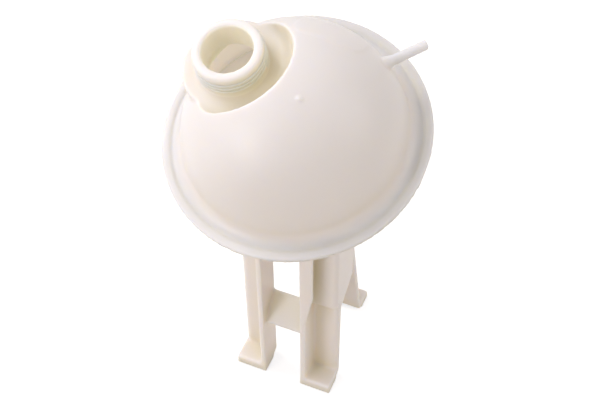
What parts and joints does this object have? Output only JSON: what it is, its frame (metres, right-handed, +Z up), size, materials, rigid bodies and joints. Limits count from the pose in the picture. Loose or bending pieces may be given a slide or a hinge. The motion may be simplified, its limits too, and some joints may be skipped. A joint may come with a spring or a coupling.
{
  "type": "coolant expansion tank",
  "caption": "Round plastic coolant expansion tank with a threaded filler neck, a vent spigot and a bottom outlet, leaning on moulded legs.",
  "frame": {"origin": "on the plane that the feet stand on, straight under the middle of the weld plane, which is the middle of the box", "axes": "+Z up; -Y is the side that the two front toes point to and the tank leans to; +X is the side of the rear leg"},
  "size_m": [0.2, 0.1876, 0.3561],
  "materials": {
    "shell_plastic": "natural milky polypropylene with a soft sheen"
  },
  "bodies": {
    "root": {"upper_shell": "shell_plastic", "lower_shell": "shell_plastic"}
  },
  "joints": []
}
